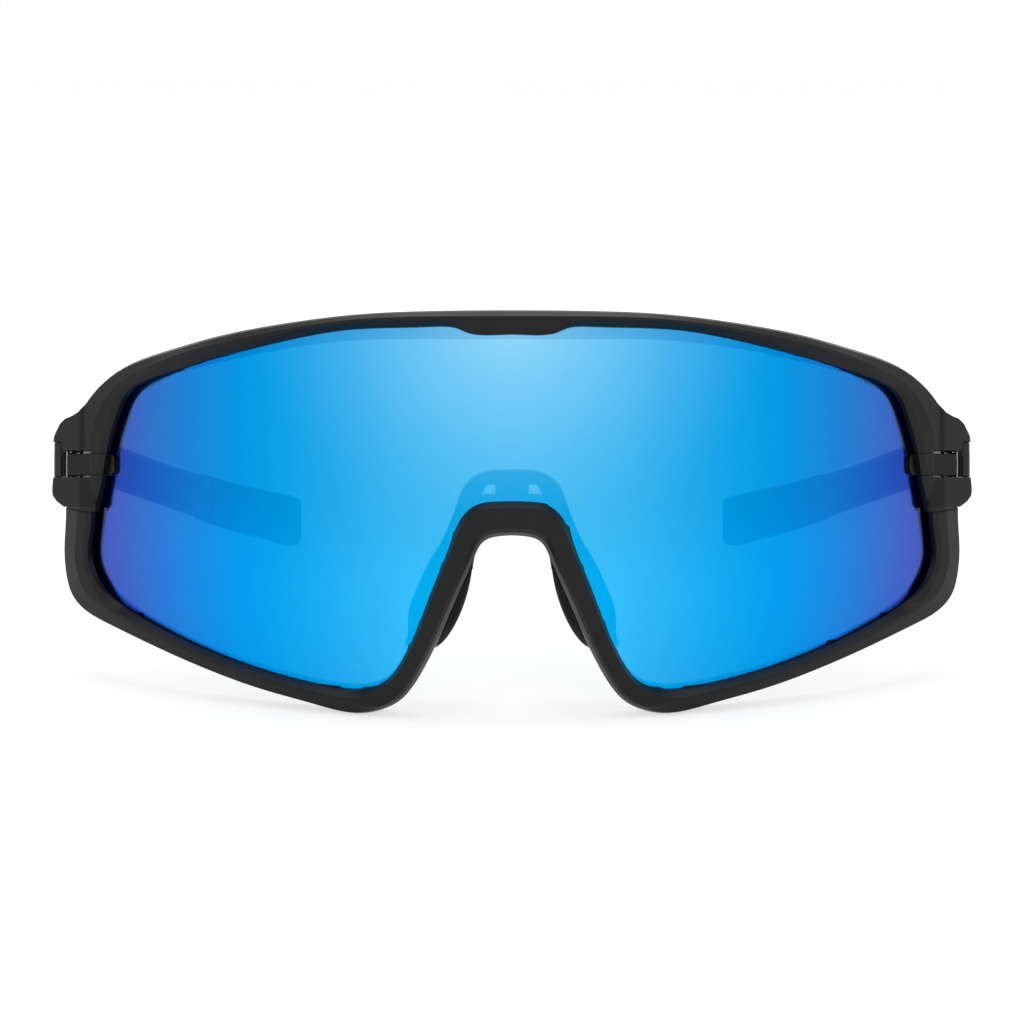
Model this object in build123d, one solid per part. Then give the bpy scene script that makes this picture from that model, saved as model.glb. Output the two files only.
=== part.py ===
"""Wraparound sport sunglasses, standing open on a table on the lower rim and the temple tips.

Millimetres. +X is to the right of a viewer facing the lens, +Y runs back along the temples, +Z is up.
The pieces are laid out with Y = 0 at the lens's foremost line and Z = 0 near the table, for the right
side where they come in pairs, and place_on_table() then moves them all to the origin under their box.
"""

from build123d import *
from math import cos, hypot, radians, sin, sqrt
import os

# ---- wrap of the lens: a barrel-shaped surface that leans back ----
WRAP_RADIUS = 85.0  # across the face
DROP_RADIUS = 180.0  # up and down
LEAN = 6.0  # the front leans back, degrees
WRAP_MID_Z = 30.0  # height of the barrel's waist
WRAP_HALF_HEIGHT = 46.0
WRAP_HALF_ANGLE = 68.0

# ---- lens ----
LENS_THICKNESS = 2.0
LENS_BITE = 1.1  # how far the lens edge runs into the rim groove
GROOVE_CLEARANCE = 0.06

# ---- rim section, measured from the lens's front face ----
FACE_TURN = 0.55  # share of the wrap that the rim's width follows
RIDGE_HEIGHT = 1.65
SHOULDER_HEIGHT = 0.95
SHOULDER_AT = 0.88  # share of the rim's width
OUTER_EDGE_HEIGHT = -0.30
RIM_BACK = 3.80
RIM_BACK_BEVEL = 0.60

# Front of the section: height of the wall over the lens, then where the ridge starts and ends as shares
# of the rim's width.
BROW = (0.35, 0.44, 0.58)
SIDE = (1.40, 0.14, 0.42)
LOWER = (0.45, 0.24, 0.36)
NOSE = (0.35, 0.16, 0.74)

# Rim stations on the right half: inner x, z; outer x, z; reach of the rear lip past the front one; front.
UPPER_STATIONS = [
    (0.0, 58.62, 0.0, 61.00, 1.8, BROW),
    (12.0, 58.56, 12.0, 60.80, 1.8, BROW),
    (24.0, 57.85, 24.2, 59.95, 1.6, BROW),
    (34.0, 55.82, 35.2, 58.15, 1.2, BROW),
    (43.5, 53.05, 45.2, 55.75, 0.7, BROW),
    (51.0, 50.30, 53.3, 53.00, 0.2, BROW),
    (56.0, 48.20, 59.3, 50.55, -0.2, SIDE),
    (58.9, 46.30, 63.4, 47.90, -0.6, SIDE),
    (60.6, 43.90, 66.7, 44.60, -1.1, SIDE),
    (61.6, 41.20, 68.7, 41.60, -1.4, SIDE),
    (62.5, 38.30, 69.9, 38.40, -1.6, SIDE),
    (63.3, 34.50, 70.6, 34.40, -1.7, SIDE),
    (64.1, 30.60, 71.0, 30.30, -1.2, SIDE),
    (64.9, 27.60, 71.2, 27.40, -1.0, SIDE),
    (65.3, 24.00, 71.3, 24.00, -1.6, SIDE),
]
LOWER_STATIONS = [
    (65.3, 28.00, 71.2, 28.00, -1.8, SIDE),
    (65.8, 25.40, 71.4, 25.40, -1.8, SIDE),
    (66.3, 22.20, 71.65, 21.80, -1.8, SIDE),
    (66.6, 19.60, 71.80, 18.40, -1.8, SIDE),
    (66.2, 17.40, 71.50, 15.20, -1.7, SIDE),
    (64.9, 15.00, 70.70, 12.60, -1.4, SIDE),
    (62.3, 12.80, 68.20, 10.40, -1.0, LOWER),
    (58.5, 11.20, 63.30, 8.90, -0.7, LOWER),
    (52.5, 9.20, 56.00, 7.00, -0.4, LOWER),
    (44.5, 7.00, 47.30, 4.70, -0.2, LOWER),
    (36.0, 5.20, 38.00, 2.50, 0.0, LOWER),
    (29.0, 4.15, 30.00, 1.00, 0.0, LOWER),
    (24.5, 3.85, 24.00, 0.05, 0.0, LOWER),
    (20.8, 4.50, 19.60, 0.90, 0.1, NOSE),
    (18.3, 6.20, 16.60, 2.70, 0.2, NOSE),
    (16.4, 9.00, 14.30, 5.80, 0.3, NOSE),
    (14.3, 13.50, 12.00, 10.20, 0.3, NOSE),
    (12.0, 19.60, 9.70, 15.40, 0.3, NOSE),
    (10.3, 23.80, 7.60, 20.20, 0.3, NOSE),
    (8.9, 27.50, 5.90, 24.00, 0.3, NOSE),
    (7.4, 30.70, 4.60, 26.60, 0.3, NOSE),
    (5.2, 32.50, 3.20, 27.50, 0.3, NOSE),
    (2.5, 32.95, 1.60, 27.80, 0.3, NOSE),
    (0.0, 33.05, 0.00, 27.90, 0.3, NOSE),
]

# ---- seam between the upper frame and the lower rim, on each side ----
SEAM_Z = 26.4
SEAM_GAP = 0.12
SEAM_INNER_X = 45.0  # the seam is outboard of this
TENON_WIDTH = 1.8
TENON_DEPTH = 1.8
TENON_HEIGHT = 4.0
TENON_CLEARANCE = 0.06
TENON_AT = 0.68  # share of the rim's width at the seam
TENON_BEHIND = 1.3  # behind the lens's front face

# ---- tab in the middle of the brow bar, which laps over the lens ----
TAB_HALF_WIDTH = 5.6
TAB_RAMP = 3.6
TAB_DROP = 1.2

# ---- hinge: its own axes are p outwards, q back and r up along the screw ----
HINGE_X, HINGE_Z = 71.8, 32.4
HINGE_TILT = 10.0  # the screw leans back by this, degrees
HINGE_BEHIND = 9.9  # behind the lens's front face at the rim's inner edge
HINGE_EDGE_X = 64.0  # where that edge is
PIN_RADIUS = 0.8
PIN_CLEARANCE = 0.05
PIN_TOP = 3.9
HEAD_TOP = -4.0
HEAD_HEIGHT = 0.9
HEAD_STEP = 0.55  # head radius past the shank's
DRIVE_RADIUS, DRIVE_DEPTH = 0.6, 0.6
INSERT_WALL, INSERT_LENGTH = 0.45, 1.5
SLOT_HALF_HEIGHT = 2.12
SLOT_INNER = -5.2

# ---- knuckle of the temple, an open ring that snaps onto the screw ----
KNUCKLE_WALL = 1.2
KNUCKLE_GAP = 0.15  # above and below, in the slot
SNAP = 0.45  # the ring's mouth is narrower than the screw by this
MOUTH_OUTER = 0.0  # outer edge of the mouth
NECK_HALF = 1.6
CHEEK_RISE = 1.3  # the outer cheek reaches this far up beside the upper lug
CHEEK_GAP = 0.15
CHEEK_INSET = 0.05  # behind the face of the upper lug
EAR_GAP = 0.4  # from the ring back to the cheek's upper ear

# ---- lugs above and below the slot ----
LUG_OVERHANG = 0.25  # the lugs cover the ring by this
LUG_ROOT = -6.0
LUG_SPLIT = -1.0  # between the outlines of the two lugs, inside the slot
UPPER_LUG_OUTER, LOWER_LUG_OUTER = 1.65, 1.85
# Plan, p and q: the front from the rim to the crest, then outside, as steps back from the outer face.
LUG_CREST = [(LUG_ROOT, -9.9), (-3.4, -9.35)]
LUG_OUTSIDE = [(0.35, -5.1), (0.0, -3.6)]
LUG_BACK = [(-3.4, -2.7), (LUG_ROOT, -3.6)]
# Outlines seen from the front: p and r on the inner side, then steps in from the outer face and r.
UPPER_LUG_TOP = [(LUG_ROOT, 11.0), (-5.0, 10.1), (-4.0, 9.1), (-3.1, 8.2), (-1.9, 7.6), (-0.7, 7.2)]
UPPER_LUG_SIDE = [(1.4, 6.4), (0.55, 4.9), (0.05, 3.9), (0.0, 3.4), (0.0, LUG_SPLIT)]
LOWER_LUG_SIDE = [(0.5, LUG_SPLIT), (0.35, -2.7), (0.0, -3.7), (0.0, -4.4), (0.4, -5.1), (1.05, -5.9)]
LOWER_LUG_BOTTOM = [(-0.5, -6.8), (LUG_ROOT, -6.8)]
REBATE_INNER = -0.1  # inner face of the upper lug's rebate for the cheek

# ---- lens lock, the block in the slot ahead of the knuckle ----
LOCK_OUTER = -1.3
LOCK_GAP_ABOVE, LOCK_GAP_BELOW = 0.55, 0.30
LOCK_FRONT = [(SLOT_INNER, -9.7), (LOCK_OUTER, -7.3)]
LOCK_ROUND = 0.35
LOCK_NOSE = -9.2  # laps over the lens this far inboard
LOCK_NOSE_ROUND = 0.9
LOCK_LIP = 0.6

# ---- temple: stations along q from the end of the knuckle ----
TEMPLE_START_GAP = 0.3
TEMPLE_LENGTH = 110.0
GRIP_START = 60.0
GRIP_STEP = 0.25  # the rubber stands this far proud of the nylon
TANG_INSET = 0.9  # rubber over the tang all round
TIP_SOLID = 7.0  # rubber beyond the tang
TIP_ROUND = 2.4
CORNER_SHARE = 0.32  # corner radius of the section, as a share of its thickness
# Share of the way to the tip, centre p, centre r, thickness, height.
TEMPLE_STATIONS = [
    (0.0, 0.00, 0.20, 4.6, 10.6),
    (0.05, -1.15, 0.70, 4.0, 8.3),
    (0.143, -4.20, 0.25, 3.4, 7.0),
    (0.292, -8.90, -1.75, 3.1, 6.9),
    (0.46, -13.85, -3.90, 3.0, 7.3),
    (0.646, -18.95, -6.00, 3.0, 7.9),
    (0.832, -23.90, -7.65, 3.1, 8.5),
    (1.0, -28.40, -9.02, 3.2, 9.2),
]

# ---- nose piece ----
BRACKET_THICKNESS = 1.5
BRACKET_OVERLAP = 0.6  # starts this far inside the rim's back and is trimmed to it
# Bracket outline on the right half: x, z; outside then the nose side.
BRACKET_OUTSIDE = [
    (0.0, 36.9),
    (3.7, 36.7),
    (6.7, 35.1),
    (8.1, 32.4),
    (9.4, 28.8),
    (11.2, 25.1),
    (13.0, 22.0),
    (14.6, 18.4),
    (15.7, 14.6),
    (15.9, 11.4),
    (15.0, 9.8),
]
BRACKET_INSIDE = [
    (12.0, 10.8),
    (9.8, 13.6),
    (7.8, 18.0),
    (6.0, 22.2),
    (5.2, 25.6),
    (3.6, 28.2),
    (0.0, 29.2),
]
# Window in the bracket: x, z of its corners.
WINDOW = [(2.5, 33.3), (4.7, 33.3), (3.7, 35.0), (2.5, 35.0)]
STUD_X, STUD_Z, STUD_RADIUS, STUD_LENGTH = 2.6, 30.8, 0.7, 1.6
STUD_CLEARANCE = 0.05
PAD_LENGTH = 18.0
PAD_WIDTH = 10.0
PAD_THICKNESS = 2.8
PAD_ROUND = 1.2
PAD_X, PAD_Z = 10.6, 17.4
PAD_BEHIND = 10.4  # behind the lens's front face
PAD_SPLAY = 38.0  # opens backwards, seen from above, degrees
PAD_RAKE = 22.0  # opens downwards, seen from the front, degrees
WING_LENGTH, WING_WIDTH, WING_THICKNESS = 9.0, 9.6, 1.1
WING_FORWARD = 2.0  # the wing's middle is this far ahead of the pad's
WING_OFFSET = 1.45  # the wing lies this far outside the pad's middle
WING_START = 0.7  # the wing starts this deep in the leg

# ---- sizes that follow ----
KNUCKLE_RADIUS = PIN_RADIUS + PIN_CLEARANCE + KNUCKLE_WALL
KNUCKLE_HALF_HEIGHT = SLOT_HALF_HEIGHT - KNUCKLE_GAP
MOUTH_WIDTH = 2 * PIN_RADIUS - SNAP
HEAD_RADIUS = PIN_RADIUS + HEAD_STEP
HEAD_BOTTOM = HEAD_TOP - HEAD_HEIGHT
LUG_REAR = KNUCKLE_RADIUS + LUG_OVERHANG
TEMPLE_START = LUG_REAR + TEMPLE_START_GAP
LOCK_REAR = -LUG_REAR
LOCK_TOP = SLOT_HALF_HEIGHT - LOCK_GAP_ABOVE
LOCK_BOTTOM = LOCK_GAP_BELOW - SLOT_HALF_HEIGHT
TANG_END = TEMPLE_LENGTH - TIP_SOLID
REACH = 4 * WRAP_RADIUS  # longer than the whole front


def wrap_y(x, z, offset=0.0):
    """Depth of the wrap surface, pushed forward by offset, at x and z."""
    lean = radians(LEAN)
    y = 0.0
    for _ in range(12):
        height = (z - WRAP_MID_Z) * cos(lean) + y * sin(lean)
        radius = WRAP_RADIUS - DROP_RADIUS + sqrt((DROP_RADIUS + offset) ** 2 - height**2)
        y = (WRAP_RADIUS - sqrt(radius**2 - x**2) + (z - WRAP_MID_Z) * sin(lean)) / cos(lean)
    return y


def wrap_point(x, z, offset=0.0):
    return Vector(x, wrap_y(x, z, offset), z)


def wrap_normal(x, z):
    """Forward normal of the wrap surface, from its slopes."""
    step = 0.01
    slope_x = (wrap_y(x + step, z) - wrap_y(x - step, z)) / (2 * step)
    slope_z = (wrap_y(x, z + step) - wrap_y(x, z - step)) / (2 * step)
    return Vector(slope_x, -1, slope_z).normalized()


def wrap_shell(front, back):
    """Solid between the wrap surface pushed forward by front and pushed back by back."""
    edges = []
    for offset in (front, -back):
        ends = []
        for z in (-WRAP_HALF_HEIGHT, 0, WRAP_HALF_HEIGHT):
            ends.append(Vector(0, DROP_RADIUS - sqrt((DROP_RADIUS + offset) ** 2 - z**2), z))
        edges.append(Edge.make_three_point_arc(*ends))
    edges.append(Edge.make_line(edges[0] @ 0, edges[1] @ 0))
    edges.append(Edge.make_line(edges[0] @ 1, edges[1] @ 1))
    axis = Axis((0, WRAP_RADIUS, 0), (0, 0, 1))
    shell = revolve(Face(Wire(edges)), axis, 2 * WRAP_HALF_ANGLE)
    shell = shell.rotate(axis, -WRAP_HALF_ANGLE)
    return Location((0, 0, WRAP_MID_Z), (-LEAN, 0, 0)) * shell


def rim_frame(station, side=1):
    """Inner point, direction across the rim, forward normal and width at a station."""
    inner_x, inner_z, outer_x, outer_z = station[:4]
    inner = wrap_point(side * inner_x, inner_z)
    outer = wrap_point(side * outer_x, outer_z)
    outer.Y = inner.Y + FACE_TURN * (outer.Y - inner.Y)
    across = (outer - inner).normalized()
    normal = wrap_normal(side * (inner_x + outer_x) / 2, (inner_z + outer_z) / 2)
    normal = (normal - across * normal.dot(across)).normalized()
    return inner, across, normal, (outer - inner).length


def rim_section(station, side):
    """Closed outline of the rim across one station, side +1 on the right and -1 on the left."""
    inner, across, normal, width = rim_frame(station, side)
    lip, (wall, ridge_start, ridge_end) = station[4:6]
    tab = station[6] if len(station) > 6 else 0.0
    outline = [
        (-tab, wall),
        (ridge_start * width, RIDGE_HEIGHT),
        (ridge_end * width, RIDGE_HEIGHT),
        (SHOULDER_AT * width, SHOULDER_HEIGHT),
        (width, OUTER_EDGE_HEIGHT),
        (width, RIM_BACK_BEVEL - RIM_BACK),
        (width - RIM_BACK_BEVEL, -RIM_BACK),
        (RIM_BACK_BEVEL - lip, -RIM_BACK),
        (-lip, RIM_BACK_BEVEL - RIM_BACK),
    ]
    return Wire.make_polygon([inner + across * u + normal * w for u, w in outline], close=True)


def brow_stations():
    """The upper stations, with the tab's own ones put in along its straight part and its ramps."""
    middle, after = UPPER_STATIONS[:2]
    made = [(*middle, TAB_DROP)]
    for share, fall in ((0, 1), (1 / 3, 0.74), (2 / 3, 0.26), (1, 0)):
        x = TAB_HALF_WIDTH + share * TAB_RAMP
        bend = (x / after[0]) ** 2
        inner_z = middle[1] + bend * (after[1] - middle[1])
        outer_z = middle[3] + bend * (after[3] - middle[3])
        made.append((x, inner_z, x, outer_z, middle[4], middle[5], fall * TAB_DROP))
    return made + UPPER_STATIONS[1:]


def whole(half):
    """Both sides of a half that ends on the middle plane."""
    return half + mirror(half, Plane.YZ)


def rim(stations, middle):
    """Loft through the right stations and their left copies, which meet at the middle one."""
    left = [rim_section(station, -1) for station in stations if station is not middle]
    right = [rim_section(station, 1) for station in stations if station is not middle]
    ends = left[::-1] if middle is stations[0] else right
    starts = right if middle is stations[0] else left[::-1]
    return Solid.make_loft(ends + [rim_section(middle, 1)] + starts)


def lens_outline(grow):
    """Front view of the lens opening, grown outwards, as a face on the XZ plane at Y = 0."""
    right = [station[:2] for station in UPPER_STATIONS[:13] + LOWER_STATIONS[2:]]
    grown = []
    for index, (x, z) in enumerate(right):
        before = right[max(index - 1, 0)]
        after = right[min(index + 1, len(right) - 1)]
        along_x, along_z = after[0] - before[0], after[1] - before[1]
        length = hypot(along_x, along_z)
        grown.append(Vector(x - grow * along_z / length, 0, z + grow * along_x / length))
    grown[0].X = grown[-1].X = 0
    half = Edge.make_spline(grown, tangents=[(1, 0, 0), (-1, 0, 0)])
    return Face(Wire([half, half.mirror(Plane.YZ)]))


def lens_blank(grow, front, back):
    """The lens, or with clearances added its room in the rim."""
    prism = extrude(lens_outline(grow), amount=2 * WRAP_RADIUS, dir=(0, 1, 0), both=True)
    return prism & wrap_shell(front, back)


def in_hinge(shape):
    """From the hinge's own axes to the glasses'."""
    y = wrap_y(HINGE_EDGE_X, HINGE_Z) + HINGE_BEHIND
    return Location((HINGE_X, y, HINGE_Z), (-HINGE_TILT, 0, 0)) * shape


def hinge_box(p, q, r):
    """Box between two limits on each of the hinge's axes."""
    size = (p[1] - p[0], q[1] - q[0], r[1] - r[0])
    return in_hinge(Pos(p[0], q[0], r[0]) * Box(*size, align=(Align.MIN,) * 3))


def lug_plan(outer, inset=0.0):
    """Plan of a lug, round about the screw at the rear inner corner, on the plane r = 0."""
    front = [(p, q + inset) for p, q in LUG_CREST]
    outside = [(outer - inset - step, q) for step, q in LUG_OUTSIDE]
    line = Polyline(*front, *outside, (outer - inset, LUG_REAR), (0, LUG_REAR))
    corner = RadiusArc((0, LUG_REAR), (-LUG_REAR, 0), -LUG_REAR)
    back = Polyline((-LUG_REAR, 0), (-LUG_REAR, -LUG_REAR / 2), *LUG_BACK, front[0])
    return make_face([line, corner, back])


def lug(outer, contour):
    """One lug: its plan cut to a contour seen from the front."""
    plan = extrude(lug_plan(outer), amount=REACH, both=True)
    front = make_face(Polyline(*[(p, 0, r) for p, r in contour], close=True))
    return in_hinge(plan & extrude(front, amount=REACH, dir=(0, 1, 0), both=True))


def upper_lug():
    side = [(UPPER_LUG_OUTER - step, r) for step, r in UPPER_LUG_SIDE]
    return lug(UPPER_LUG_OUTER, [*UPPER_LUG_TOP, *side, (LUG_ROOT, LUG_SPLIT)])


def lower_lug():
    side = [(LOWER_LUG_OUTER - step, r) for step, r in LOWER_LUG_SIDE]
    return lug(LOWER_LUG_OUTER, [(LUG_ROOT, LUG_SPLIT), *side, *LOWER_LUG_BOTTOM])


def standing(shape, r):
    """A hinge piece raised along the screw's axis to start at r."""
    return in_hinge(Pos(0, 0, r) * shape)


def upright(radius, height):
    return Cylinder(radius, height, align=(Align.CENTER, Align.CENTER, Align.MIN))


def screw_room(clearance=0.0):
    """The screw's envelope, or with a clearance its holes in the lugs."""
    shank = standing(upright(PIN_RADIUS + clearance, PIN_TOP - HEAD_TOP), HEAD_TOP)
    return shank + standing(upright(HEAD_RADIUS + clearance, HEAD_HEIGHT), HEAD_BOTTOM)


def make_screw():
    socket = extrude(RegularPolygon(DRIVE_RADIUS, 6), amount=DRIVE_DEPTH)
    return screw_room() - standing(socket, HEAD_BOTTOM)


def insert_room():
    return standing(upright(PIN_RADIUS + INSERT_WALL, INSERT_LENGTH), PIN_TOP - INSERT_LENGTH)


def make_insert():
    """Brass sleeve moulded into the upper lug, in which the screw turns home."""
    return insert_room() - screw_room()


def tenon(clearance):
    """Peg on the lower rim's end, or with a clearance its hole in the upper frame."""
    low, high = UPPER_STATIONS[-2:]
    share = (SEAM_Z - low[1]) / (high[1] - low[1])
    inner, across, normal, width = rim_frame([a + share * (b - a) for a, b in zip(low[:4], high[:4])])
    centre = inner + across * TENON_AT * width - normal * TENON_BEHIND
    size = (TENON_WIDTH + 2 * clearance, TENON_DEPTH + 2 * clearance, TENON_HEIGHT + clearance)
    base = Pos(centre.X, centre.Y, SEAM_Z - SEAM_GAP)
    return base * Box(*size, align=(Align.CENTER, Align.CENTER, Align.MIN))


def lock_room(clearance):
    """Where the lock's inner end lies in front of the lens."""
    width = SLOT_INNER - LOCK_NOSE
    height = LOCK_TOP - LOCK_BOTTOM + 2 * clearance
    outline = RectangleRounded(2 * (width + clearance), height, LOCK_NOSE_ROUND)
    front = Plane.XZ * Pos(SLOT_INNER, (LOCK_TOP + LOCK_BOTTOM) / 2) * outline
    nose = extrude(front, amount=REACH, both=True)
    inboard = hinge_box((-REACH, SLOT_INNER + 2 * GROOVE_CLEARANCE), (-REACH, 0), (-REACH, REACH))
    return in_hinge(nose) & inboard & wrap_shell(4 * RIDGE_HEIGHT, -GROOVE_CLEARANCE)


def make_frame_front(upper_rim, groove):
    size = (REACH, REACH, REACH)
    low = Pos(0, 0, SEAM_Z + SEAM_GAP / 2) * Box(*size, align=(Align.CENTER, Align.CENTER, Align.MAX))
    frame = upper_rim + whole(upper_lug() + lower_lug()) - low - groove
    slot = hinge_box((SLOT_INNER, REACH), (-REACH, REACH), (-SLOT_HALF_HEIGHT, SLOT_HALF_HEIGHT))
    rebate_top = SLOT_HALF_HEIGHT + CHEEK_RISE + CHEEK_GAP
    rebate = hinge_box((REBATE_INNER, REACH), (-REACH, REACH), (0, rebate_top))
    rebate -= standing(upright(KNUCKLE_RADIUS + CHEEK_GAP, REACH), 0)
    cuts = slot + rebate + screw_room() + insert_room() + tenon(TENON_CLEARANCE)
    return frame - whole(cuts) - whole(lock_room(GROOVE_CLEARANCE))


def make_lower_rim(groove, studs):
    top = SEAM_Z - SEAM_GAP / 2
    size = (REACH, REACH, REACH)
    above = Pos(SEAM_INNER_X, 0, top) * Box(*size, align=(Align.MIN, Align.CENTER, Align.MIN))
    return rim(LOWER_STATIONS, LOWER_STATIONS[-1]) - whole(above) - groove - studs + whole(tenon(0))


def make_lock(upper_rim):
    """Block in the slot ahead of the knuckle, with its inner end carrying on the rim over the lens."""
    front = [(max(p, SLOT_INNER + GROOVE_CLEARANCE), q) for p, q in LOCK_FRONT]
    corners = [*front, (LOCK_OUTER, LOCK_REAR), (front[0][0], LOCK_REAR)]
    block = extrude(make_face(Polyline(*corners, close=True)), amount=LOCK_TOP - LOCK_BOTTOM)
    rounded = block.edges().filter_by(Axis.Z).sort_by(Axis.X)[-2:].sort_by(Axis.Y)[0]
    block = standing(fillet(rounded, LOCK_ROUND), LOCK_BOTTOM)
    nose = lock_room(0)
    return block + (upper_rim & nose) + (nose & wrap_shell(LOCK_LIP, -GROOVE_CLEARANCE))


def temple_station(share):
    """Temple station at any share of its length, by straight interpolation, starting with q."""
    for low, high in zip(TEMPLE_STATIONS, TEMPLE_STATIONS[1:]):
        if share <= high[0]:
            break
    between = (share - low[0]) / (high[0] - low[0])
    _, *sizes = [a + between * (b - a) for a, b in zip(low, high)]
    return TEMPLE_START + share * (TEMPLE_LENGTH - TEMPLE_START), *sizes


def temple_section(station, grow):
    """Rounded section of the temple square to q."""
    q, p, r, thickness, height = station
    plane = Plane(origin=(p, q, r), x_dir=(1, 0, 0), z_dir=(0, 1, 0))
    width, tall = thickness + 2 * grow, height + 2 * grow
    return plane * RectangleRounded(width, tall, width * CORNER_SHARE)


def temple_loft(start, end, grow=0.0):
    """The temple between two places along q, grown all round."""
    length = TEMPLE_LENGTH - TEMPLE_START
    first, last = (start - TEMPLE_START) / length, (end - TEMPLE_START) / length
    shares = [first, *[station[0] for station in TEMPLE_STATIONS if first < station[0] < last], last]
    return loft([temple_section(temple_station(share), grow) for share in shares])


def make_knuckle():
    """Open ring that snaps on the screw, with the cheek that shows on the outside of the slot."""
    height = 2 * KNUCKLE_HALF_HEIGHT
    ring = Cylinder(KNUCKLE_RADIUS, height)
    neck_length = TEMPLE_START + KNUCKLE_GAP
    neck = Pos(0, neck_length / 2, 0) * Box(2 * NECK_HALF, neck_length, height)
    plan = extrude(lug_plan(UPPER_LUG_OUTER, CHEEK_GAP), amount=REACH, both=True)
    width = UPPER_LUG_OUTER - CHEEK_INSET - MOUTH_OUTER
    low = (Align.MIN, Align.MAX, Align.MIN)
    cheek = Pos(MOUTH_OUTER, 0, -KNUCKLE_HALF_HEIGHT) * Box(width, REACH, height, align=low)
    rise = SLOT_HALF_HEIGHT + CHEEK_RISE - KNUCKLE_HALF_HEIGHT
    ear_place = Pos(MOUTH_OUTER, -KNUCKLE_RADIUS - EAR_GAP, KNUCKLE_HALF_HEIGHT)
    ear = ear_place * Box(width, REACH, rise, align=low)
    mouth_place = Pos(MOUTH_OUTER, 0, 0)
    mouth = mouth_place * Box(MOUTH_WIDTH, 2 * KNUCKLE_RADIUS, height, align=(Align.MAX, Align.MAX, Align.CENTER))
    bore = Cylinder(PIN_RADIUS + PIN_CLEARANCE, height)
    return ring + neck + (plan & (cheek + ear)) - mouth - bore


def make_temple():
    """Nylon arm with the knuckle in front and a thinner tang inside the rubber tip."""
    arm = temple_loft(TEMPLE_START, GRIP_START) + temple_loft(GRIP_START, TANG_END, -TANG_INSET)
    return in_hinge(arm + make_knuckle())


def make_grip():
    """Rubber sleeve over the tang, its end rounded in side view."""
    _, _, centre, _, height = TEMPLE_STATIONS[-1]
    sleeve = temple_loft(GRIP_START, TEMPLE_LENGTH, GRIP_STEP)
    tall = height + 2 * GRIP_STEP
    rounded = Pos(TEMPLE_LENGTH - 2 * TIP_ROUND, centre) * RectangleRounded(4 * TIP_ROUND, tall, TIP_ROUND)
    before_tip = TEMPLE_LENGTH - TIP_ROUND
    rest = Pos(before_tip / 2, centre) * Rectangle(before_tip, 2 * tall)
    outline = extrude(Plane.YZ * (rounded + rest), amount=REACH, both=True)
    return in_hinge((sleeve & outline) - temple_loft(GRIP_START, TANG_END, -TANG_INSET))


def bracket_outline():
    outside = Spline(*[(x, 0, z) for x, z in BRACKET_OUTSIDE], tangents=[(1, 0, 0), (-1, 0, -0.6)])
    inside = Spline(*[(x, 0, z) for x, z in BRACKET_INSIDE], tangents=[(-1, 0, 0.6), (-1, 0, 0)])
    half = [outside, Line(outside @ 1, inside @ 0), inside]
    return make_face(half + [mirror(edge, Plane.YZ) for edge in half])


def pad_plane():
    """On the pad's middle: x back along the pad, y up along it and z towards the nose."""
    splay, rake = radians(PAD_SPLAY), radians(PAD_RAKE)
    centre = (PAD_X, wrap_y(PAD_X, PAD_Z) + PAD_BEHIND, PAD_Z)
    back = (sin(splay), cos(splay), 0)
    inwards = (-cos(splay) * cos(rake), sin(splay) * cos(rake), -sin(rake))
    return Plane(origin=centre, x_dir=back, z_dir=inwards)


def stud(clearance):
    """Peg on the bracket, or with a clearance its hole in the rim."""
    y = wrap_y(STUD_X, STUD_Z, -RIM_BACK) + BRACKET_OVERLAP
    return Pos(STUD_X, y, STUD_Z) * Rot(90, 0, 0) * upright(STUD_RADIUS + clearance, STUD_LENGTH + clearance)


def wing():
    """Plate that carries the pad, rooted in the bracket's leg."""
    plate = Pos(-WING_FORWARD, 0, -WING_OFFSET) * Box(WING_LENGTH, WING_WIDTH, WING_THICKNESS)
    return pad_plane() * plate


def make_bracket(lower_rim):
    prism = extrude(bracket_outline(), amount=REACH, dir=(0, 1, 0), both=True)
    shell = prism & wrap_shell(BRACKET_OVERLAP - RIM_BACK, RIM_BACK + BRACKET_THICKNESS)
    corners = Polyline(*[(x, 0, z) for x, z in WINDOW], close=True)
    window = extrude(make_face(corners), amount=REACH, dir=(0, 1, 0), both=True)
    carrier = wing() & wrap_shell(-RIM_BACK - WING_START, WRAP_RADIUS / 2)
    return shell - whole(window) + whole(carrier) - lower_rim + whole(stud(0))


def make_pad(bracket):
    disc = extrude(Ellipse(PAD_WIDTH / 2, PAD_LENGTH / 2), amount=PAD_THICKNESS / 2, both=True)
    disc = fillet(disc.edges(), PAD_ROUND)
    return pad_plane() * disc - bracket


def place_on_table(pieces):
    """Move every piece so the origin is under the middle of their common box."""
    box = Compound(list(pieces.values())).bounding_box()
    middle = box.center()
    shift = Pos(-middle.X, -middle.Y, -box.min.Z)
    return {name: shift * piece for name, piece in pieces.items()}


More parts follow.
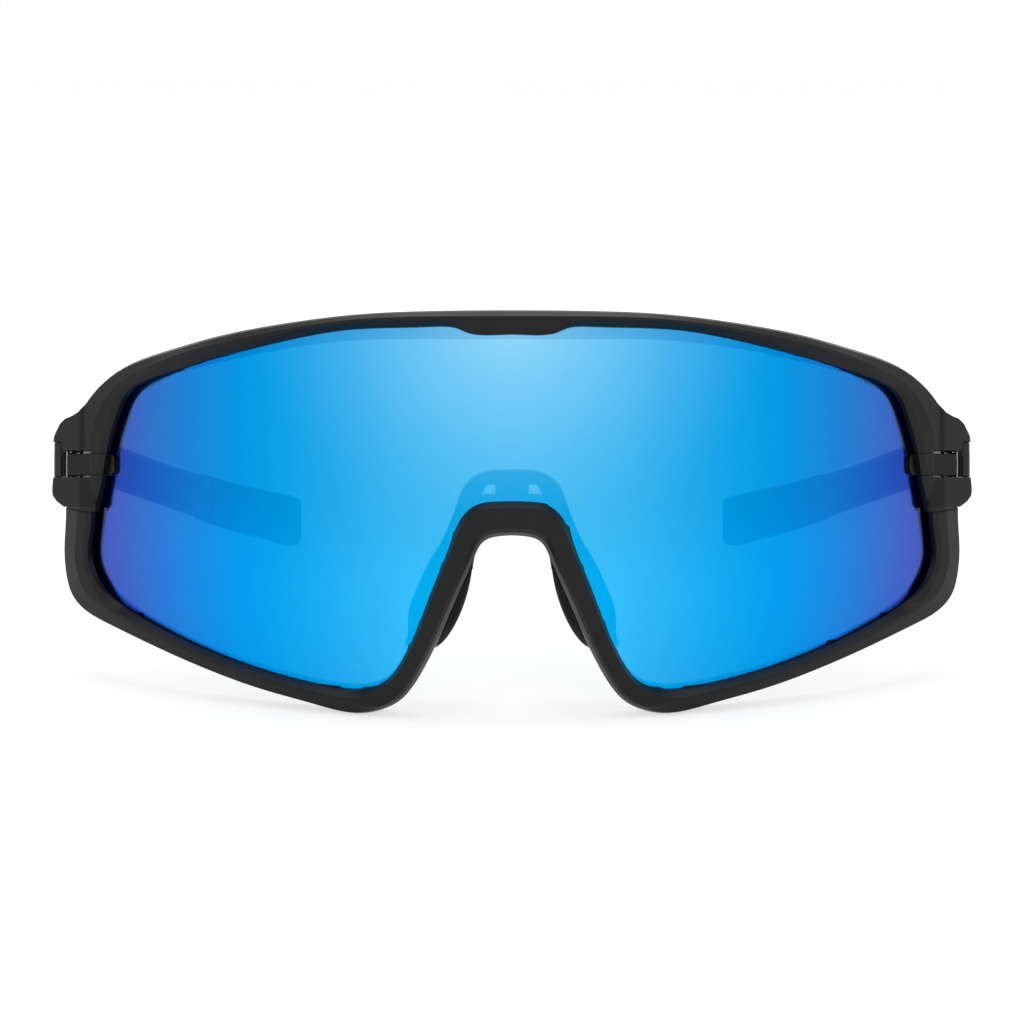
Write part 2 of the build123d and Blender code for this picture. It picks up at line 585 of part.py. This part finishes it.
def main():
    os.makedirs("parts", exist_ok=True)
    groove = lens_blank(LENS_BITE + GROOVE_CLEARANCE, GROOVE_CLEARANCE, LENS_THICKNESS + GROOVE_CLEARANCE)
    stations = brow_stations()
    upper_rim = rim(stations, stations[0])
    lower_rim = make_lower_rim(groove, whole(stud(STUD_CLEARANCE)))
    bracket = make_bracket(lower_rim)
    sided = {
        "lens_lock": make_lock(upper_rim),
        "hinge_screw": make_screw(),
        "hinge_insert": make_insert(),
        "temple": make_temple(),
        "temple_grip": make_grip(),
        "nose_pad": make_pad(bracket),
    }
    pieces = {
        "frame_front": make_frame_front(upper_rim, groove),
        "lower_rim": lower_rim,
        "lens": lens_blank(LENS_BITE, 0, LENS_THICKNESS),
        "nose_bracket": bracket,
    }
    for name, piece in sided.items():
        pieces[f"{name}_right"] = piece
        pieces[f"{name}_left"] = mirror(piece, Plane.YZ)
    for name, piece in place_on_table(pieces).items():
        export_step(piece, f"parts/{name}.step")


if __name__ == "__main__":
    main()
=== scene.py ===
import math

import bmesh
import bpy
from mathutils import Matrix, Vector


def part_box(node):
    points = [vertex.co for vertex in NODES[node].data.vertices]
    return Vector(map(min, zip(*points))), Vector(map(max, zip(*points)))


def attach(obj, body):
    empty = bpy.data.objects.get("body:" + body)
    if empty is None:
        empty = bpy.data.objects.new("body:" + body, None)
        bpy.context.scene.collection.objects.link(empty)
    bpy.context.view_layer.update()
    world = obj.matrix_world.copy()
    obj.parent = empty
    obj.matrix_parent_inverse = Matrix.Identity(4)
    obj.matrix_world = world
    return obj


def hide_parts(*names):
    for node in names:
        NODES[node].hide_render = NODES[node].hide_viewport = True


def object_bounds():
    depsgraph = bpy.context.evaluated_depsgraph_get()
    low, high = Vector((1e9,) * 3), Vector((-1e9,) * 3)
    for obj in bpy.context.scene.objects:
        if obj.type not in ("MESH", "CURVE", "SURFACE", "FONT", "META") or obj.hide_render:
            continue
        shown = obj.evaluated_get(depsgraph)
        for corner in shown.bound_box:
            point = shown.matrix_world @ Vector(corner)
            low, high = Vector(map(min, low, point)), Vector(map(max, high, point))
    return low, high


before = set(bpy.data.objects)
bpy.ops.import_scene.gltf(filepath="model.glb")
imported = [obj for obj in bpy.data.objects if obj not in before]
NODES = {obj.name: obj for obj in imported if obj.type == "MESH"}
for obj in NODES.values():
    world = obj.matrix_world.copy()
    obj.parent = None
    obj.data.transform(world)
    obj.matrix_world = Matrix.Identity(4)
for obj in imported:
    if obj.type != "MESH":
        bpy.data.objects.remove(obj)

# Wraparound sport sunglasses: a mirrored shield lens in a satin nylon rim, standing open on a white table.
# Metres throughout, in the frame of the CAD model; sizes written in millimetres are multiplied by MM.

cad_low, cad_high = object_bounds()

MM = 0.001
SIDES = ("left", "right")


# ---- colours and nodes ----

def linear(code):
    """An sRGB hex colour as linear RGBA."""
    values = [int(code[i : i + 2], 16) / 255 for i in (1, 3, 5)]
    made = [v / 12.92 if v <= 0.04045 else ((v + 0.055) / 1.055) ** 2.4 for v in values]
    return (*made, 1.0)


def add(tree, kind, links=None, sockets=None, **settings):
    """Adds a node with its settings, its socket values and the outputs that feed it."""
    made = tree.nodes.new(kind)
    for name, value in settings.items():
        setattr(made, name, value)
    for name, value in (sockets or {}).items():
        made.inputs[name].default_value = value
    for name, source in (links or {}).items():
        tree.links.new(source, made.inputs[name])
    return made


def blank(name):
    """An empty material: its node tree, its surface socket and the Object coordinates for its patterns."""
    material = bpy.data.materials.new(name)
    material.use_nodes = True
    tree = material.node_tree
    tree.nodes.clear()
    surface = tree.nodes.new("ShaderNodeOutputMaterial").inputs["Surface"]
    place = tree.nodes.new("ShaderNodeTexCoord").outputs["Object"]
    return material, tree, surface, place


def grain(tree, place, size, strength, depth, edge):
    """Normal of an even moulded grain over edges rounded to a radius, all in millimetres."""
    noise = add(
        tree,
        "ShaderNodeTexNoise",
        {"Vector": place},
        {"Scale": 1 / (size * MM), "Detail": 2.0, "Roughness": 0.6},
    )
    rounded = add(tree, "ShaderNodeBevel", None, {"Radius": edge * MM}, samples=6)
    bump = add(
        tree,
        "ShaderNodeBump",
        {"Height": noise.outputs["Fac"], "Normal": rounded.outputs["Normal"]},
        {"Strength": strength, "Distance": depth * MM},
    )
    return bump.outputs["Normal"]


def uneven(tree, place, size, low, high):
    """A value that wanders between low and high over patches of that size in millimetres."""
    noise = add(
        tree,
        "ShaderNodeTexNoise",
        {"Vector": place},
        {"Scale": 1 / (size * MM), "Detail": 3.0},
    )
    spread = add(
        tree,
        "ShaderNodeMapRange",
        {"Value": noise.outputs["Fac"]},
        {"From Min": 0.3, "From Max": 0.7, "To Min": low, "To Max": high},
    )
    return spread.outputs["Result"]


# ---- materials ----

def moulded(name, colour, patch, roughness, grit, edge, gloss):
    """A moulded plastic or rubber: one colour through, its roughness wandering over patches, its surface
    grained, and its edges rounded; sizes in millimetres. Gloss is the shader's own values for the shine."""
    material, tree, surface, place = blank(name)
    shader = add(
        tree,
        "ShaderNodeBsdfPrincipled",
        {
            "Roughness": uneven(tree, place, patch, *roughness),
            "Normal": grain(tree, place, *grit, edge),
        },
        {"Base Color": linear(colour), **gloss},
    )
    tree.links.new(shader.outputs["BSDF"], surface)
    return material


TOOL_MARKS = 0.10  # apart, in millimetres


def turned(name, colour, roughness):
    """A turned metal: bright, with highlights smeared by the tool's marks."""
    material, tree, surface, place = blank(name)
    shader = add(
        tree,
        "ShaderNodeBsdfPrincipled",
        {
            "Roughness": uneven(tree, place, 0.8, roughness - 0.05, roughness + 0.05),
            "Normal": grain(tree, place, TOOL_MARKS, 0.12, 0.01, 0.08),
        },
        {"Base Color": linear(colour), "Metallic": 1.0},
    )
    tree.links.new(shader.outputs["BSDF"], surface)
    return material


# The mirror's colour by distance from the middle, in millimetres: sky blue, azure, then indigo. The blue is
# the coat's own; the darkening to indigo towards the sides is painted shade, set by position in place of the
# coat met at a slant.
MIRROR_BANDS = [
    (0.0, "#00a6e5"),
    (16.4, "#00a0e0"),
    (24.0, "#0099dc"),
    (34.6, "#0090d8"),
    (42.0, "#0084d4"),
    (48.0, "#1074cb"),
    (54.0, "#1461bf"),
    (60.0, "#2148b0"),
    (66.0, "#3038a2"),
]
MIRROR_HALF_WIDTH = 70.0
# Painted highlight: a pale patch mixed into the mirror's colour in place of a soft light's reflection; its
# middle is at the lens's top edge.
PAINTED_HIGHLIGHT_WIDTH, PAINTED_HIGHLIGHT_HEIGHT = 42.0, 34.0
PAINTED_HIGHLIGHT_STRENGTH = 0.30

# The light that gets through the coat, by the same distance: pale green, teal, then a dusky violet.
TINT_BANDS = [
    (0.0, "#89a698"),
    (14.0, "#76a096"),
    (32.0, "#007e94"),
    (50.0, "#007e94"),
    (62.0, "#76707f"),
]


def banded(tree, share, bands):
    """Colour that runs smoothly through the bands as the share of the lens's half width goes from 0 to 1."""
    ramp = add(tree, "ShaderNodeValToRGB", {"Fac": share})
    ramp.color_ramp.interpolation = "B_SPLINE"
    stops = ramp.color_ramp.elements
    while len(stops) < len(bands):
        stops.new(1.0)
    for stop, (distance, code) in zip(stops, bands):
        stop.position = distance / MIRROR_HALF_WIDTH
        stop.color = linear(code)
    return ramp.outputs["Color"]


def mirror_coat():
    """Blue interference mirror on the lens's outer face: it sends most blue light back and lets a little
    light through. Its colour turns from sky blue to indigo towards the sides, a shift painted by distance
    from the middle in place of the coat met at a slant, and a painted highlight, a pale patch, sits at the
    middle of its top edge."""
    material, tree, surface, place = blank("blue mirror coat")
    parts = add(tree, "ShaderNodeSeparateXYZ", {"Vector": place})
    side = add(tree, "ShaderNodeMath", {0: parts.outputs["X"]}, operation="ABSOLUTE")
    share = add(
        tree,
        "ShaderNodeMapRange",
        {"Value": side.outputs[0]},
        {"From Min": 0.0, "From Max": MIRROR_HALF_WIDTH * MM},
    )
    # the coat's blue by distance from the middle, with painted darkening to indigo at the sides
    bands = banded(tree, share.outputs["Result"], MIRROR_BANDS)
    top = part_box("lens")[1].z / MM
    # painted highlight: a soft round patch centred on the lens's top edge
    highlight_spot = add(
        tree,
        "ShaderNodeMapping",
        {"Vector": place},
        {
            "Location": (0.0, 0.0, -top / PAINTED_HIGHLIGHT_HEIGHT),
            "Scale": (1 / (PAINTED_HIGHLIGHT_WIDTH * MM), 0.0, 1 / (PAINTED_HIGHLIGHT_HEIGHT * MM)),
        },
    )
    painted_highlight = add(
        tree,
        "ShaderNodeTexGradient",
        {"Vector": highlight_spot.outputs["Vector"]},
        gradient_type="QUADRATIC_SPHERE",
    )
    weight = add(tree, "ShaderNodeMath", {0: painted_highlight.outputs["Fac"]}, {1: PAINTED_HIGHLIGHT_STRENGTH}, operation="MULTIPLY")
    # the mirror colour is pulled towards pale cyan inside that patch: a painted highlight
    colour = add(
        tree,
        "ShaderNodeMix",
        {"Factor": weight.outputs[0], 6: bands},
        {7: linear("#e8fcff")},
        data_type="RGBA",
    )
    mirror = add(tree, "ShaderNodeBsdfGlossy", {"Color": colour.outputs[2]}, {"Roughness": 0.17})
    tint = banded(tree, share.outputs["Result"], TINT_BANDS)
    clear = add(tree, "ShaderNodeBsdfTransparent", {"Color": tint})
    both = add(tree, "ShaderNodeAddShader", {0: mirror.outputs["BSDF"], 1: clear.outputs["BSDF"]})
    tree.links.new(both.outputs["Shader"], surface)
    return material


def smoke_polycarbonate():
    """Smoke-tinted polycarbonate, the lens's inner face and edge: clear and glossy, passing about a third of
    the light, its tint a little uneven, with brighter reflections at glancing angles."""
    material, tree, surface, place = blank("smoke polycarbonate")
    gloss = add(
        tree,
        "ShaderNodeBsdfGlossy",
        {"Roughness": uneven(tree, place, 12.0, 0.04, 0.08)},
        {"Color": linear("#f2f6ff")},
    )
    clear = add(tree, "ShaderNodeBsdfTransparent", None, {"Color": linear("#86979c")})
    slant = add(tree, "ShaderNodeLayerWeight", None, {"Blend": 0.25})
    share = add(
        tree,
        "ShaderNodeMapRange",
        {"Value": slant.outputs["Facing"]},
        {"From Min": 0.2, "From Max": 1.0, "To Min": 0.04, "To Max": 0.45},
    )
    both = add(
        tree,
        "ShaderNodeMixShader",
        {"Fac": share.outputs["Result"], 1: clear.outputs["BSDF"], 2: gloss.outputs["BSDF"]},
    )
    tree.links.new(both.outputs["Shader"], surface)
    return material


# Black nylon 12 from a spark-eroded mould: charcoal, satin, with wide soft highlights where its edges turn.
NYLON = moulded(
    "moulded nylon",
    "#0b0b0c",
    patch=7.0,
    roughness=(0.38, 0.46),
    grit=(0.25, 0.22, 0.03),
    edge=0.35,
    gloss={"IOR": 1.53, "Specular IOR Level": 0.22},
)
# The nose bracket's nylon: the same charcoal from a duller mould.
BRACKET_NYLON = moulded(
    "matt nylon",
    "#0f0f10",
    patch=5.0,
    roughness=(0.55, 0.65),
    grit=(0.25, 0.25, 0.03),
    edge=0.25,
    gloss={"IOR": 1.53, "Specular IOR Level": 0.22},
)
# Soft black elastomer: duller than the nylon, with a faint dusty bloom at glancing angles.
RUBBER = moulded(
    "moulded rubber",
    "#121213",
    patch=6.0,
    roughness=(0.68, 0.80),
    grit=(0.35, 0.30, 0.05),
    edge=0.5,
    gloss={"IOR": 1.50, "Specular IOR Level": 0.30, "Sheen Weight": 0.05, "Sheen Roughness": 0.5},
)
STEEL = turned("turned stainless steel", "#c9c9c6", 0.24)
BRASS = turned("turned brass", "#c9a45c", 0.32)
MIRROR = mirror_coat()
SMOKE = smoke_polycarbonate()


# ---- pieces ----

def finish_with(obj, *materials):
    obj.data.materials.clear()
    for material in materials:
        obj.data.materials.append(material)


WELD_WITHIN = 0.001  # millimetres
FACING_OUT = 0.5  # cosine of the widest angle at which a face of the lens still counts as its outer face
SHARP_EDGE = 40  # degrees


def merged_copy(name, node):
    """A new object with the CAD node's mesh, its loose triangles merged."""
    shape = bmesh.new()
    shape.from_mesh(NODES[node].data)
    bmesh.ops.remove_doubles(shape, verts=shape.verts, dist=WELD_WITHIN * MM)
    mesh = bpy.data.meshes.new(name)
    shape.to_mesh(mesh)
    shape.free()
    obj = bpy.data.objects.new(name, mesh)
    bpy.context.scene.collection.objects.link(obj)
    return obj


def shield():
    """The lens, with its mirror on the outer face only."""
    low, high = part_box("lens")
    half_width, wrap = (high.x - low.x) / 2, high.y - low.y
    radius = (half_width**2 + wrap**2) / (2 * wrap)
    middle = Vector((0, low.y + radius, (low.z + high.z) / 2))
    obj = merged_copy("shield_lens", "lens")
    finish_with(obj, MIRROR, SMOKE)
    for face in obj.data.polygons:
        outward = (face.center - middle).normalized()
        face.material_index = 0 if face.normal.dot(outward) > FACING_OUT else 1
        face.use_smooth = True
    obj.data.set_sharp_from_angle(angle=math.radians(SHARP_EDGE))
    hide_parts("lens")
    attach(obj, "front")


shield()
for node in ("frame_front", "lower_rim"):
    finish_with(NODES[node], NYLON)
finish_with(NODES["nose_bracket"], BRACKET_NYLON)
for side in SIDES:
    for node in ("lens_lock", "temple"):
        finish_with(NODES[f"{node}_{side}"], NYLON)
    for node in ("temple_grip", "nose_pad"):
        finish_with(NODES[f"{node}_{side}"], RUBBER)
    finish_with(NODES[f"hinge_screw_{side}"], STEEL)
    finish_with(NODES[f"hinge_insert_{side}"], BRASS)


# ---- table, light and camera ----

TABLE_SIZE = 6.0
TABLE_GLOW = 0.64  # light that comes up through it, as a share of plain white


def table():
    """A photographer's table of white acrylic, lit from below as well, so that its shadows stay light."""
    material, tree, surface, place = blank("white acrylic")
    sheet = add(
        tree,
        "ShaderNodeBsdfDiffuse",
        {"Roughness": uneven(tree, place, 40.0, 0.4, 0.6)},
        {"Color": linear("#a0a0a0")},
    )
    glow = add(tree, "ShaderNodeEmission", None, {"Strength": TABLE_GLOW})
    both = add(tree, "ShaderNodeAddShader", {0: sheet.outputs["BSDF"], 1: glow.outputs["Emission"]})
    tree.links.new(both.outputs["Shader"], surface)
    shape = bmesh.new()
    bmesh.ops.create_grid(shape, x_segments=1, y_segments=1, size=TABLE_SIZE / 2)
    mesh = bpy.data.meshes.new("table")
    shape.to_mesh(mesh)
    shape.free()
    obj = bpy.data.objects.new("table", mesh)
    bpy.context.scene.collection.objects.link(obj)
    finish_with(obj, material)


def softbox(name, place, width, height, power):
    light = bpy.data.lights.new(name, "AREA")
    light.shape = "RECTANGLE"
    light.size = width
    light.size_y = height
    light.energy = power
    obj = bpy.data.objects.new(name, light)
    obj.location = place
    obj.rotation_euler = (Vector(LIGHTS_AIM) - Vector(place)).to_track_quat("-Z", "Y").to_euler()
    bpy.context.scene.collection.objects.link(obj)


LIGHTS_AIM = (0.0, 0.0, 0.03)
# Each soft light: where it hangs, its width and height in metres, and its power in watts.
SOFTBOXES = {
    "overhead": ((0.0, 0.10, 0.80), 0.6, 0.3, 3.0),
    "left rear": ((-0.50, 0.60, 0.20), 0.4, 0.3, 2.4),
    "right rear": ((0.50, 0.60, 0.20), 0.4, 0.3, 2.4),
}


def studio():
    """A bright white room with a soft light overhead and one behind on each side."""
    scene = bpy.context.scene
    scene.view_settings.view_transform = "Standard"
    world = bpy.data.worlds.new("studio")
    world.use_nodes = True
    walls = world.node_tree.nodes["Background"]
    walls.inputs["Color"].default_value = (1, 1, 1, 1)
    walls.inputs["Strength"].default_value = 1.0
    scene.world = world
    for name, (place, width, height, power) in SOFTBOXES.items():
        softbox(name, place, width, height, power)


CAMERA_DISTANCE = 450.0  # ahead of the lens's foremost line
CAMERA_HEIGHT = 109.0
CAMERA_TILT = 9.78  # down, degrees
RIDGE_AHEAD = 1.73  # the rim stands this far ahead of the lens


def camera():
    """Telephoto in front of the lens, looking a little down."""
    data = bpy.data.cameras.new("camera")
    data.sensor_width = 36.0
    data.lens = 108.0
    data.clip_start, data.clip_end = 0.01, 20.0
    obj = bpy.data.objects.new("camera", data)
    obj.location = (0.0, cad_low.y + (RIDGE_AHEAD - CAMERA_DISTANCE) * MM, CAMERA_HEIGHT * MM)
    obj.rotation_euler = (math.radians(90 - CAMERA_TILT), 0, 0)
    bpy.context.scene.collection.objects.link(obj)
    bpy.context.scene.camera = obj


table()
studio()
camera()
